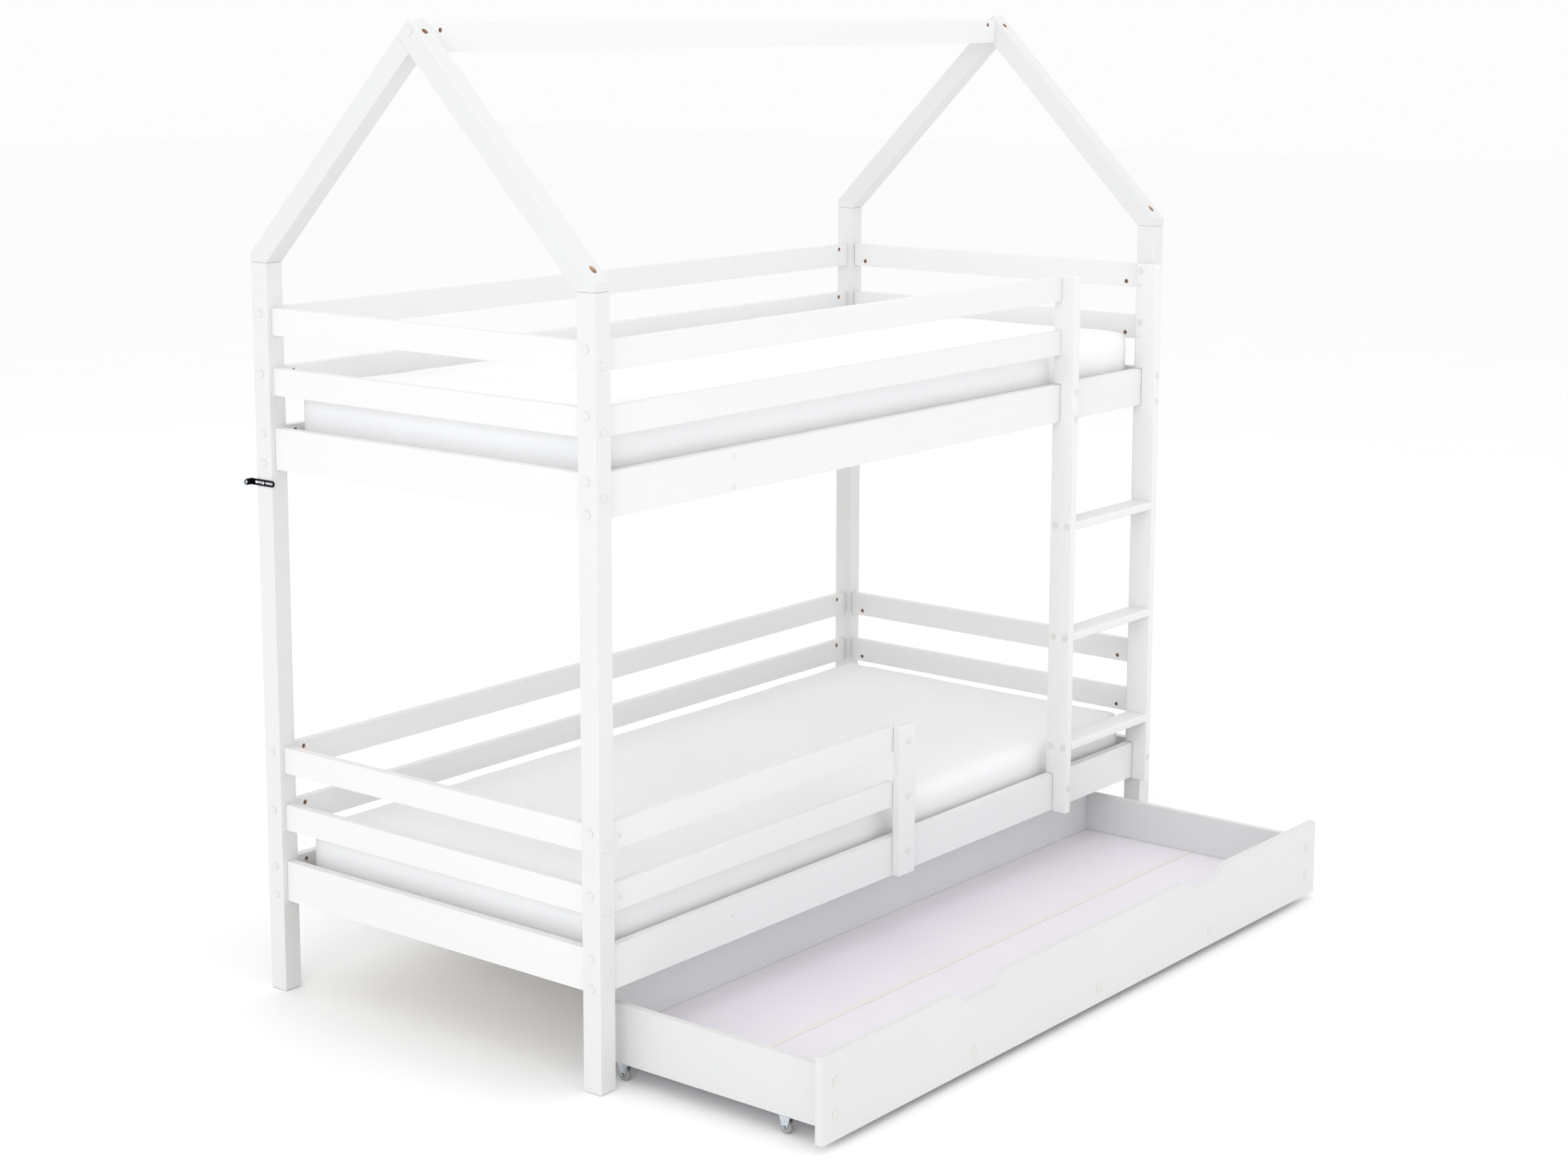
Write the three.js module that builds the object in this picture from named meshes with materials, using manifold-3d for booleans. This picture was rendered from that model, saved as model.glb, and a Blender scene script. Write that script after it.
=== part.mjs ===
// House-framed bunk bed with a ladder, a short lower guard and a rolling under-bed drawer.
// Millimetres. X runs along the bed, the ladder and drawer are on the -Y side, Z is up.
import * as THREE from 'three';
import { mergeVertices } from 'three/addons/utils/BufferGeometryUtils.js';
import Module from 'manifold-3d';

const wasm = await Module();
wasm.setup();

// ---------------------------------------------------------------- driving dimensions
const GAP = 0.3; // clearance left between parts that touch
const BED_L = 2080; // outside of the posts, along X
const BED_W = 980; // outside of the posts, along Y
const POST_X = 45;
const POST_Y = 47;
const POST_H = 1602;

const BOARD_T = 20; // thickness of every rail and guard
const GUARD_H = 58;
const RAIL_H = 90;
const RAIL_Z = 204; // underside of the lower side rails
const BUNK_STEP = 956; // lower bunk to upper bunk
const GUARD_2_Z = 364; // underside of the lower guard of the lower bunk
const GUARD_1_Z = 492; // underside of the top guard of the lower bunk

const APEX_Z = 2111;
const RAFTER_D = 47; // depth square to the slope
const RAFTER_T = 44; // along X
const RIDGE_DROP = 9; // ridge top below the apex
const RIDGE_NUT = 13.5; // its cross-nut holes below its top
const PEAK_HOLE_Y = 11.4; // middle of the slanted screw hole at the peak
const PEAK_HOLE_DROP = 36.6;

const LADDER_X0 = 606; // -X face of the left stile
const STILE_T = 20;
const STILE_Y0 = -516.5; // front edge
const STILE_Y1 = -456.5; // back edge
const STILE_Z0 = 200;
const STILE_Z1 = 1510;
const STILE_R = 12; // rounded top front corner
const RUNG_T = 20;
const RUNG_R = 5;
const RUNG_Z = [364, 636.5, 909]; // mid-height of each rung

const BOARD_X0 = -52; // upright that ends the short guard
const BOARD_W = 60;

const NUT_R = 5; // cross-bolt holes in the rail ends
const SCREW_R = 7; // screw holes in the rafters
const NUT_END = 36; // hole centre from the rail's end
const NUT_DEPTH = 16;
const NUT_DZ = 16; // hole above or below a guard's middle
const RAIL_DZ = 32; // hole above and below a long side rail's middle
const HOLE_SEG = 14;

const LEDGER_T = 25;
const LEDGER_H = 22.5;
const SLAT_W = 70;
const SLAT_T = 18;
const SLATS = 13;
const SLAT_END = 5; // slat end to the rail it lies beside
const TAPE_W = 22;
const TAPE_T = 1.2;

const MATTRESS_L = 1990;
const MATTRESS_W = 894;
const MATTRESS_X = 10; // pushed towards the ladder end
const MATTRESS_T = { lower: 124, upper: 140 };
const MATTRESS_R = 34; // upright corners
const MATTRESS_EDGE = 22; // top and bottom edges

const DRAWER_X = -12; // the drawer stands a little left of the bed's middle
const DRAWER_FRONT_Y = -1004; // outer face of its front, as pulled out
const FRONT_W = 1948;
const FRONT_T = 18;
const FRONT_Z0 = 16;
const FRONT_Z1 = 192;
const BOX_W = 1882; // outside of the drawer's side panels
const PANEL_T = 16;
const BOX_Z0 = 36;
const BOX_Z1 = 161;
const BOX_DEPTH = 634; // front face to the back of the back panel
const FLOOR_T = 3;
const FLOOR_Z0 = 60.5;
const GROOVE = 5;
const GRIP_X = 450; // middle of each hand cut-out from the drawer's middle
const GRIP_W = 205;
const GRIP_D = 27;
const GRIP_S = 62; // run of each S-shaped shoulder
const STRIP_W = 15; // joining strip in the drawer's floor

const WHEEL_R = 12.5;
const WHEEL_W = 11;
const AXLE_R = 2.5;
const CASTER_Y = [118, 535]; // behind the drawer front's outer face
const PLATE_L = 28;
const PLATE_T = 1.5;
const CHEEK_T = 1.2;

const BRACKET_Z = 1131; // mid-height of the wall bracket
const BRACKET_H = 14;
const BRACKET_T = 2;
const BRACKET_Y0 = 433;
const BRACKET_Y1 = 507;
const FLANGE_X = 23; // how far the flange stands out

// the group is moved so that its origin is at the middle of its own footprint
const ORIGIN_X = -FLANGE_X / 2;
const ORIGIN_Y = (DRAWER_FRONT_Y + BRACKET_Y1) / 2;

// ---------------------------------------------------------------- materials
const paint = new THREE.MeshStandardMaterial({ name: 'white_paint', color: 0xf4f4f2, roughness: 0.5 });
const laminate = new THREE.MeshStandardMaterial({ name: 'white_laminate', color: 0xf1f1f1, roughness: 0.45 });
const liner = new THREE.MeshStandardMaterial({ name: 'floor_board', color: 0xeae6ee, roughness: 0.6 });
const strip = new THREE.MeshStandardMaterial({ name: 'joining_strip', color: 0xf0eeea, roughness: 0.5 });
const ticking = new THREE.MeshStandardMaterial({ name: 'mattress_cover', color: 0xf5f5f5, roughness: 0.9 });
const slatWood = new THREE.MeshStandardMaterial({ name: 'slat_wood', color: 0xd9b98a, roughness: 0.7 });
const zinc = new THREE.MeshStandardMaterial({ name: 'zinc_steel', color: 0xb9c0c4, metalness: 0.9, roughness: 0.35 });
const tread = new THREE.MeshStandardMaterial({ name: 'wheel_plastic', color: 0x8f8f90, roughness: 0.5 });
const dark = new THREE.MeshStandardMaterial({ name: 'bracket_steel', color: 0x3a3d42, metalness: 0.8, roughness: 0.4 });

const bed = new THREE.Group();
bed.name = 'bunk_bed';

// ---------------------------------------------------------------- helpers
function add(name, geometry, material) {
  const mesh = new THREE.Mesh(geometry, material);
  mesh.name = name;
  bed.add(mesh);
  return mesh;
}

function block(x0, x1, y0, y1, z0, z1) {
  const g = new THREE.BoxGeometry(x1 - x0, y1 - y0, z1 - z0);
  g.translate((x0 + x1) / 2, (y0 + y1) / 2, (z0 + z1) / 2);
  return g;
}

// axis is 'x', 'y' or 'z'; the rod runs from a to b along it
function rod(axis, a, b, r, u, v, seg = HOLE_SEG) {
  const g = new THREE.CylinderGeometry(r, r, b - a, seg);
  if (axis === 'x') g.rotateZ(Math.PI / 2);
  if (axis === 'z') g.rotateX(Math.PI / 2);
  const mid = (a + b) / 2;
  if (axis === 'x') g.translate(mid, u, v);
  if (axis === 'y') g.translate(u, mid, v);
  if (axis === 'z') g.translate(u, v, mid);
  return g;
}

function solid(geometry) {
  const g = geometry.index ? geometry.clone() : geometry.clone();
  g.deleteAttribute('normal');
  g.deleteAttribute('uv');
  const m = mergeVertices(g, 1e-4);
  const mesh = new wasm.Mesh({
    numProp: 3,
    vertProperties: new Float32Array(m.attributes.position.array),
    triVerts: new Uint32Array(m.index.array),
  });
  return new wasm.Manifold(mesh);
}

function surface(manifold) {
  const mesh = manifold.getMesh();
  const g = new THREE.BufferGeometry();
  g.setAttribute('position', new THREE.BufferAttribute(new Float32Array(mesh.vertProperties), 3));
  g.setIndex(new THREE.BufferAttribute(new Uint32Array(mesh.triVerts), 1));
  g.computeVertexNormals();
  return g;
}

function cut(geometry, tools) {
  let m = solid(geometry);
  for (const t of tools) m = m.subtract(solid(t));
  return surface(m);
}

function join(geometries) {
  let m = solid(geometries[0]);
  for (const g of geometries.slice(1)) m = m.add(solid(g));
  return m;
}

// a flat shape drawn in (y, z) and extruded along X
function extrudeX(shape, x0, x1, curveSegments = 8) {
  const g = new THREE.ExtrudeGeometry(shape, { depth: x1 - x0, bevelEnabled: false, curveSegments });
  const basis = new THREE.Matrix4().makeBasis(
    new THREE.Vector3(0, 1, 0),
    new THREE.Vector3(0, 0, 1),
    new THREE.Vector3(1, 0, 0),
  );
  g.applyMatrix4(basis);
  g.translate(x0, 0, 0);
  return g;
}

// a flat shape drawn in (x, z) and extruded from y1 towards -Y down to y0
function extrudeY(shape, y0, y1, curveSegments = 8) {
  const g = new THREE.ExtrudeGeometry(shape, { depth: y1 - y0, bevelEnabled: false, curveSegments });
  const basis = new THREE.Matrix4().makeBasis(
    new THREE.Vector3(1, 0, 0),
    new THREE.Vector3(0, 0, 1),
    new THREE.Vector3(0, -1, 0),
  );
  g.applyMatrix4(basis);
  g.translate(0, y1, 0);
  return g;
}

// ---------------------------------------------------------------- posts and roof
const HALF_L = BED_L / 2;
const HALF_W = BED_W / 2;
const IN_X = HALF_L - POST_X; // inner X face of the posts
const IN_Y = HALF_W - POST_Y; // inner Y face of the posts
const LONG_Y = HALF_W - POST_Y / 2; // middle plane of the long rails
const END_X = HALF_L - POST_X / 2; // middle plane of the end rails

function posts() {
  for (const [sx, xn] of [[-1, 'left'], [1, 'right']]) {
    for (const [sy, yn] of [[-1, 'front'], [1, 'rear']]) {
      const xs = [sx * HALF_L, sx * IN_X].sort((a, b) => a - b);
      const ys = [sy * HALF_W, sy * IN_Y].sort((a, b) => a - b);
      add(`post_${yn}_${xn}`, block(xs[0], xs[1], ys[0], ys[1], 0, POST_H), paint);
    }
  }
}

function roof() {
  const drop = RAFTER_D * Math.SQRT2; // rafter depth measured upright
  const foot = POST_H + GAP;
  const inner = APEX_Z - drop; // height of the inner corner
  const half = RAFTER_D / Math.SQRT2;
  for (const [sx, xn] of [[-1, 'left'], [1, 'right']]) {
    const xs = [sx * HALF_L, sx * (HALF_L - RAFTER_T)].sort((a, b) => a - b);
    // the front rafter runs up to the peak and ends square in the rear rafter's top plane
    const front = new THREE.Shape();
    front.moveTo(-HALF_W, foot);
    front.lineTo(-(inner - foot), foot);
    front.lineTo(half, APEX_Z - half);
    front.lineTo(0, APEX_Z);
    front.lineTo(-HALF_W, APEX_Z - HALF_W);
    const g = extrudeX(front, xs[0], xs[1]);
    const footHole = rod('z', foot + 25, APEX_Z, SCREW_R, sx * END_X, -(HALF_W - POST_Y / 2));
    const peakHole = rod('y', -20, 20, SCREW_R, 0, 0);
    peakHole.rotateX(-Math.PI / 4);
    peakHole.translate(sx * END_X, -PEAK_HOLE_Y, APEX_Z - PEAK_HOLE_DROP);
    add(`rafter_front_${xn}`, cut(g, [footHole, peakHole]), paint);
    // the rear rafter butts against the underside of the front one
    const rear = new THREE.Shape();
    const g2 = GAP * Math.SQRT1_2;
    rear.moveTo(half + g2, APEX_Z - half - g2);
    rear.lineTo(g2, inner - g2);
    rear.lineTo(inner - foot, foot);
    rear.lineTo(HALF_W, foot);
    rear.lineTo(HALF_W, APEX_Z - HALF_W);
    const rearHole = rod('z', foot + 25, APEX_Z, SCREW_R, sx * END_X, HALF_W - POST_Y / 2);
    add(`rafter_rear_${xn}`, cut(extrudeX(rear, xs[0], xs[1]), [rearHole]), paint);
  }
  const x1 = HALF_L - RAFTER_T - GAP;
  const z1 = APEX_Z - RIDGE_DROP;
  const beam = block(-x1, x1, -BOARD_T / 2, BOARD_T / 2, z1 - GUARD_H, z1);
  const nutEnd = -BOARD_T / 2 + NUT_DEPTH;
  const holes = [-1, 1].map((s) => rod('y', -BOARD_T, nutEnd, NUT_R, s * (x1 - 34), z1 - RIDGE_NUT));
  add('ridge_beam', cut(beam, holes), paint);
}

// ---------------------------------------------------------------- rails and guards
// cross-bolt holes open on the inner face; dz lists their heights from the board's middle
function longBoard(name, side, x0, x1, z0, h, dz, ends, ledger) {
  const y = side * LONG_Y;
  const inner = y - side * (BOARD_T / 2);
  const holes = [];
  for (const e of ends) {
    const x = e < 0 ? x0 + NUT_END : x1 - NUT_END;
    for (const d of dz) {
      const ys = [inner - side * 5, inner + side * NUT_DEPTH].sort((a, b) => a - b);
      holes.push(rod('y', ys[0], ys[1], NUT_R, x, z0 + h / 2 + d));
    }
  }
  const board = block(x0, x1, y - BOARD_T / 2, y + BOARD_T / 2, z0, z0 + h);
  if (!ledger) {
    add(name, cut(board, holes), paint);
    return;
  }
  const ys = [inner + side * 2, inner - side * LEDGER_T].sort((a, b) => a - b);
  const strip2 = block(x0 + 40, x1 - 40, ys[0], ys[1], z0 + 0.5, z0 + LEDGER_H);
  let m = join([board, strip2]);
  for (const t of holes) m = m.subtract(solid(t));
  add(name, surface(m), paint);
}

function endBoard(name, side, z0, h, dz) {
  const x = side * END_X;
  const y1 = IN_Y - GAP;
  const inner = x - side * (BOARD_T / 2);
  const xs = [inner - side * 5, inner + side * NUT_DEPTH].sort((a, b) => a - b);
  const holes = [-1, 1].map((s) => rod('x', xs[0], xs[1], NUT_R, s * (y1 - NUT_END), z0 + h / 2 + dz));
  const board = block(x - BOARD_T / 2, x + BOARD_T / 2, -y1, y1, z0, z0 + h);
  add(name, cut(board, holes), paint);
}

function bunk(level, lift) {
  const x1 = IN_X - GAP;
  const both = [-1, 1];
  for (const [s, n] of [[-1, 'front'], [1, 'rear']]) {
    longBoard(`${level}_rail_${n}`, s, -x1, x1, RAIL_Z + lift, RAIL_H, [-RAIL_DZ, RAIL_DZ], both, true);
  }
  longBoard(`${level}_guard2_rear`, 1, -x1, x1, GUARD_2_Z + lift, GUARD_H, [NUT_DZ], both, false);
  longBoard(`${level}_guard1_rear`, 1, -x1, x1, GUARD_1_Z + lift, GUARD_H, [NUT_DZ], both, false);
  const frontEnd = level === 'upper' ? LADDER_X0 - GAP : BOARD_X0 + 6;
  const ends = level === 'upper' ? both : [-1];
  longBoard(`${level}_guard2_front`, -1, -x1, frontEnd, GUARD_2_Z + lift, GUARD_H, [NUT_DZ], ends, false);
  longBoard(`${level}_guard1_front`, -1, -x1, frontEnd, GUARD_1_Z + lift, GUARD_H, [NUT_DZ], ends, false);
  for (const [s, n] of [[-1, 'left'], [1, 'right']]) {
    endBoard(`${level}_rail_${n}`, s, RAIL_Z + lift, RAIL_H, 0);
    endBoard(`${level}_guard2_${n}`, s, GUARD_2_Z + lift, GUARD_H, -NUT_DZ);
    endBoard(`${level}_guard1_${n}`, s, GUARD_1_Z + lift, GUARD_H, -NUT_DZ);
  }
}

function guardBoard() {
  const y1 = -(LONG_Y + BOARD_T / 2) - GAP;
  const shape = new THREE.Shape();
  const x0 = BOARD_X0;
  const x1 = BOARD_X0 + BOARD_W;
  const z1 = GUARD_1_Z + GUARD_H;
  shape.moveTo(x0, RAIL_Z);
  shape.lineTo(x1, RAIL_Z);
  shape.lineTo(x1, z1);
  shape.lineTo(x0, z1);
  add('guard_upright', extrudeY(shape, y1 - BOARD_T, y1), paint);
}

// ---------------------------------------------------------------- ladder
function stileShape() {
  const front = STILE_Y0;
  const back = STILE_Y1;
  const notch = -(LONG_Y + BOARD_T / 2) - GAP;
  const s = new THREE.Shape();
  const lower = RAIL_Z - GAP;
  const lowerTop = RAIL_Z + RAIL_H + GAP;
  s.moveTo(front, STILE_Z0);
  s.lineTo(notch, STILE_Z0);
  s.lineTo(notch, lowerTop);
  s.lineTo(back, lowerTop);
  s.lineTo(back, lower + BUNK_STEP);
  s.lineTo(notch, lower + BUNK_STEP);
  s.lineTo(notch, lowerTop + BUNK_STEP);
  s.lineTo(back, lowerTop + BUNK_STEP);
  s.lineTo(back, STILE_Z1);
  s.lineTo(front + STILE_R, STILE_Z1);
  s.absarc(front + STILE_R, STILE_Z1 - STILE_R, STILE_R, Math.PI / 2, Math.PI, false);
  return s;
}

function ladder() {
  const leftX = LADDER_X0 + STILE_T;
  const rightX = IN_X - GAP - STILE_T;
  add('ladder_stile_left', extrudeX(stileShape(), LADDER_X0, leftX, 6), paint);
  add('ladder_stile_right', extrudeX(stileShape(), rightX, rightX + STILE_T, 6), paint);
  RUNG_Z.forEach((z, i) => {
    const s = new THREE.Shape();
    const y0 = STILE_Y0 + 0.5;
    const y1 = STILE_Y1 - 0.5;
    const z0 = z - RUNG_T / 2;
    const z1 = z + RUNG_T / 2;
    const r = RUNG_R;
    s.moveTo(y0 + r, z0);
    s.lineTo(y1 - r, z0);
    s.absarc(y1 - r, z0 + r, r, -Math.PI / 2, 0, false);
    s.absarc(y1 - r, z1 - r, r, 0, Math.PI / 2, false);
    s.absarc(y0 + r, z1 - r, r, Math.PI / 2, Math.PI, false);
    s.absarc(y0 + r, z0 + r, r, Math.PI, Math.PI * 1.5, false);
    add(`ladder_rung_${i + 1}`, extrudeX(s, leftX + GAP, rightX - GAP, 4), paint);
  });
}

// ---------------------------------------------------------------- slats and mattresses
function slatBase(level, lift) {
  const z0 = RAIL_Z + lift + LEDGER_H + GAP;
  const y1 = LONG_Y - BOARD_T / 2 - SLAT_END;
  const run = 2 * END_X - BOARD_T - SLAT_W - 60;
  const parts = [];
  for (let i = 0; i < SLATS; i += 1) {
    const x = -run / 2 + (run * i) / (SLATS - 1);
    parts.push(block(x - SLAT_W / 2, x + SLAT_W / 2, -y1, y1, z0, z0 + SLAT_T));
  }
  for (const y of [-300, 300]) {
    const half = run / 2 + SLAT_W / 2 - 4;
    parts.push(block(-half, half, y - TAPE_W / 2, y + TAPE_W / 2, z0 - TAPE_T + 0.4, z0 + 0.4));
  }
  add(`${level}_slats`, surface(join(parts)), slatWood);
}

function mattress(level, lift) {
  const z0 = RAIL_Z + lift + LEDGER_H + SLAT_T + 2 * GAP;
  const e = MATTRESS_EDGE;
  const hx = MATTRESS_L / 2 - e;
  const hy = MATTRESS_W / 2 - e;
  const r = MATTRESS_R - e;
  const s = new THREE.Shape();
  s.moveTo(-hx + r, -hy);
  s.lineTo(hx - r, -hy);
  s.absarc(hx - r, -hy + r, r, -Math.PI / 2, 0, false);
  s.absarc(hx - r, hy - r, r, 0, Math.PI / 2, false);
  s.absarc(-hx + r, hy - r, r, Math.PI / 2, Math.PI, false);
  s.absarc(-hx + r, -hy + r, r, Math.PI, Math.PI * 1.5, false);
  const g = new THREE.ExtrudeGeometry(s, {
    depth: MATTRESS_T[level] - 2 * e,
    bevelEnabled: true,
    bevelSize: e,
    bevelThickness: e,
    bevelSegments: 4,
    curveSegments: 4,
  });
  g.translate(MATTRESS_X, 0, z0 + e);
  add(`${level}_mattress`, surface(solid(g)), ticking);
}

// ---------------------------------------------------------------- drawer
function gripShape() {
  const s = new THREE.Shape();
  const x1 = FRONT_W / 2;
  s.moveTo(-x1, FRONT_Z0);
  s.lineTo(x1, FRONT_Z0);
  s.lineTo(x1, FRONT_Z1);
  for (const c of [GRIP_X, -GRIP_X]) {
    const a = c + GRIP_W / 2;
    const b = c - GRIP_W / 2;
    const low = FRONT_Z1 - GRIP_D;
    const k = GRIP_S / 2;
    s.lineTo(a, FRONT_Z1);
    s.bezierCurveTo(a - k, FRONT_Z1, a - k, low, a - GRIP_S, low);
    s.lineTo(b + GRIP_S, low);
    s.bezierCurveTo(b + k, low, b + k, FRONT_Z1, b, FRONT_Z1);
  }
  s.lineTo(-x1, FRONT_Z1);
  return s;
}

function drawer() {
  const y0 = DRAWER_FRONT_Y;
  const yIn = y0 + FRONT_T;
  const yBack = y0 + BOX_DEPTH;
  const xOut = BOX_W / 2;
  const xIn = xOut - PANEL_T;
  const slot = 0.4;
  const gz0 = FLOOR_Z0 - slot;
  const gz1 = FLOOR_Z0 + FLOOR_T + slot;
  const g = GROOVE + slot;
  const groove = block(-xIn - g, xIn + g, yIn - g, yBack - PANEL_T + g, gz0, gz1);
  groove.translate(DRAWER_X, 0, 0);
  const place = (geometry) => geometry.translate(DRAWER_X, 0, 0);
  const front = place(extrudeY(gripShape(), y0, yIn, 8));
  add('drawer_front', cut(front, [groove]), laminate);
  const side = yIn + GAP;
  const left = place(block(-xOut, -xIn, side, yBack, BOX_Z0, BOX_Z1));
  const right = place(block(xIn, xOut, side, yBack, BOX_Z0, BOX_Z1));
  add('drawer_side_left', cut(left, [groove]), laminate);
  add('drawer_side_right', cut(right, [groove]), laminate);
  const back = place(block(-xIn + GAP, xIn - GAP, yBack - PANEL_T, yBack, BOX_Z0, BOX_Z1));
  add('drawer_back', cut(back, [groove]), laminate);
  const mid = (yIn + yBack - PANEL_T) / 2;
  const w = GROOVE;
  const z1 = FLOOR_Z0 + FLOOR_T;
  const seam = 1.2;
  const f0 = place(block(-xIn - w, xIn + w, yIn - w, mid - seam, FLOOR_Z0, z1));
  const f1 = place(block(-xIn - w, xIn + w, mid + seam, yBack - PANEL_T + w, FLOOR_Z0, z1));
  add('drawer_floor_front', f0, liner);
  add('drawer_floor_rear', f1, liner);
  // H-section strip that holds the inner edges of the two floor boards
  const h = new THREE.Shape();
  const hw = STRIP_W / 2;
  const ft = 1.3;
  const a = FLOOR_Z0 - GAP;
  const b = z1 + GAP;
  const web = seam - GAP;
  h.moveTo(mid - hw, a - ft);
  h.lineTo(mid + hw, a - ft);
  h.lineTo(mid + hw, a);
  h.lineTo(mid + web, a);
  h.lineTo(mid + web, b);
  h.lineTo(mid + hw, b);
  h.lineTo(mid + hw, b + ft);
  h.lineTo(mid - hw, b + ft);
  h.lineTo(mid - hw, b);
  h.lineTo(mid - web, b);
  h.lineTo(mid - web, a);
  h.lineTo(mid - hw, a);
  add('drawer_floor_strip', place(extrudeX(h, -xIn + 1, xIn - 1)), strip);
}

function casters() {
  const plateTop = BOX_Z0 - GAP;
  for (const [sx, xn] of [[-1, 'left'], [1, 'right']]) {
    CASTER_Y.forEach((dy, i) => {
      const yn = i === 0 ? 'front' : 'rear';
      const x = DRAWER_X + sx * (BOX_W / 2 - PANEL_T / 2);
      const y = DRAWER_FRONT_Y + dy;
      const w = PANEL_T / 2;
      const plate = block(x - w, x + w, y - PLATE_L / 2, y + PLATE_L / 2, plateTop - PLATE_T, plateTop);
      const cheek = new THREE.Shape();
      const top = plateTop - PLATE_T + 0.4;
      cheek.moveTo(y - 12, top);
      cheek.lineTo(y - 12, top - 3);
      cheek.lineTo(y - 6, WHEEL_R);
      cheek.absarc(y, WHEEL_R, 6, Math.PI, Math.PI * 2, false);
      cheek.lineTo(y + 12, top - 3);
      cheek.lineTo(y + 12, top);
      const c0 = extrudeX(cheek, x - w + 0.4, x - w + 0.4 + CHEEK_T, 6);
      const c1 = extrudeX(cheek, x + w - 0.4 - CHEEK_T, x + w - 0.4, 6);
      const axle = rod('x', x - w - 1, x + w + 1, AXLE_R, y, WHEEL_R, 24);
      add(`caster_fork_${yn}_${xn}`, surface(join([plate, c0, c1, axle])), zinc);
      const ring = rod('x', x - WHEEL_W / 2, x + WHEEL_W / 2, WHEEL_R, y, WHEEL_R, 36);
      const bore = rod('x', x - WHEEL_W, x + WHEEL_W, AXLE_R + 0.08, y, WHEEL_R, 24);
      add(`caster_wheel_${yn}_${xn}`, cut(ring, [bore]), tread);
    });
  }
}

// ---------------------------------------------------------------- wall bracket
function wallBracket() {
  const x1 = -HALF_L - GAP;
  const z0 = BRACKET_Z - BRACKET_H / 2;
  const z1 = BRACKET_Z + BRACKET_H / 2;
  const r = BRACKET_H / 2;
  const p = new THREE.Shape();
  p.moveTo(BRACKET_Y0 + r, z0);
  p.lineTo(BRACKET_Y1, z0);
  p.lineTo(BRACKET_Y1, z1);
  p.lineTo(BRACKET_Y0 + r, z1);
  p.absarc(BRACKET_Y0 + r, BRACKET_Z, r, Math.PI / 2, Math.PI * 1.5, false);
  const slot = (y0, y1) => {
    const s = new THREE.Path();
    const sr = 2.6;
    s.moveTo(y0 + sr, BRACKET_Z - sr);
    s.lineTo(y1 - sr, BRACKET_Z - sr);
    s.absarc(y1 - sr, BRACKET_Z, sr, -Math.PI / 2, Math.PI / 2, false);
    s.lineTo(y0 + sr, BRACKET_Z + sr);
    s.absarc(y0 + sr, BRACKET_Z, sr, Math.PI / 2, Math.PI * 1.5, false);
    return s;
  };
  p.holes.push(slot(BRACKET_Y0 + 5, BRACKET_Y0 + 31));
  p.holes.push(slot(BRACKET_Y0 + 38, BRACKET_Y0 + 62));
  const plate = extrudeX(p, x1 - BRACKET_T, x1, 6);
  const f = new THREE.Shape();
  const fx = -HALF_L - FLANGE_X;
  f.moveTo(x1, z0);
  f.lineTo(x1, z1);
  f.lineTo(fx + r, z1);
  f.absarc(fx + r, BRACKET_Z, r, Math.PI / 2, Math.PI * 1.5, false);
  const hole = new THREE.Path();
  hole.absarc(fx + r + 1, BRACKET_Z, 2.6, 0, Math.PI * 2, true);
  f.holes.push(hole);
  const flange = extrudeY(f, BRACKET_Y1 - BRACKET_T, BRACKET_Y1, 6);
  add('wall_bracket', surface(join([plate, flange])), dark);
}

// ---------------------------------------------------------------- assembly
posts();
roof();
bunk('lower', 0);
bunk('upper', BUNK_STEP);
guardBoard();
ladder();
slatBase('lower', 0);
slatBase('upper', BUNK_STEP);
mattress('lower', 0);
mattress('upper', BUNK_STEP);
drawer();
casters();
wallBracket();

for (const mesh of bed.children) {
  mesh.geometry.translate(-ORIGIN_X, -ORIGIN_Y, 0);
}

export default bed;
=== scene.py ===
"""Bunk bed with a ladder, a house-shaped roof frame and an under-bed drawer."""
import math

import bmesh
import bpy
from mathutils import Matrix, Vector, noise


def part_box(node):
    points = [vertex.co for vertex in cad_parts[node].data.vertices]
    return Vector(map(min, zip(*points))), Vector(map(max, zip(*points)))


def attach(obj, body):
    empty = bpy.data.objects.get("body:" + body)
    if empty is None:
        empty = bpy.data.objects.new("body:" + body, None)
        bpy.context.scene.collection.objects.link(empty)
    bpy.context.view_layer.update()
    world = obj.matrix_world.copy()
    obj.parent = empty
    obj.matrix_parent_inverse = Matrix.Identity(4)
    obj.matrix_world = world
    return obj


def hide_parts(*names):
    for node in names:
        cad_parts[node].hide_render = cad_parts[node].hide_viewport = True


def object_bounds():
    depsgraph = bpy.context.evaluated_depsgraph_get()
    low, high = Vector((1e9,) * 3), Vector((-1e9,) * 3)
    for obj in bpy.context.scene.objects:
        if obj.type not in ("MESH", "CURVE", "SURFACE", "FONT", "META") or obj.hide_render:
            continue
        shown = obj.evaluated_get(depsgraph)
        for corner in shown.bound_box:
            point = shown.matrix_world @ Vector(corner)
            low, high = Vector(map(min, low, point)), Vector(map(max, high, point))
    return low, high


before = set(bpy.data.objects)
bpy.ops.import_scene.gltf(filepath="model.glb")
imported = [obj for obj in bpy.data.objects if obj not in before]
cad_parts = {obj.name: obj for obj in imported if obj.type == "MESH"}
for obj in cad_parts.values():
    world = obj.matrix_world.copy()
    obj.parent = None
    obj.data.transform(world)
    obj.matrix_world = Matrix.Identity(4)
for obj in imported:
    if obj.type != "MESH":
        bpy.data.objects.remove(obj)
cad_lo, cad_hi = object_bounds()
scene = bpy.context.scene

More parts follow.
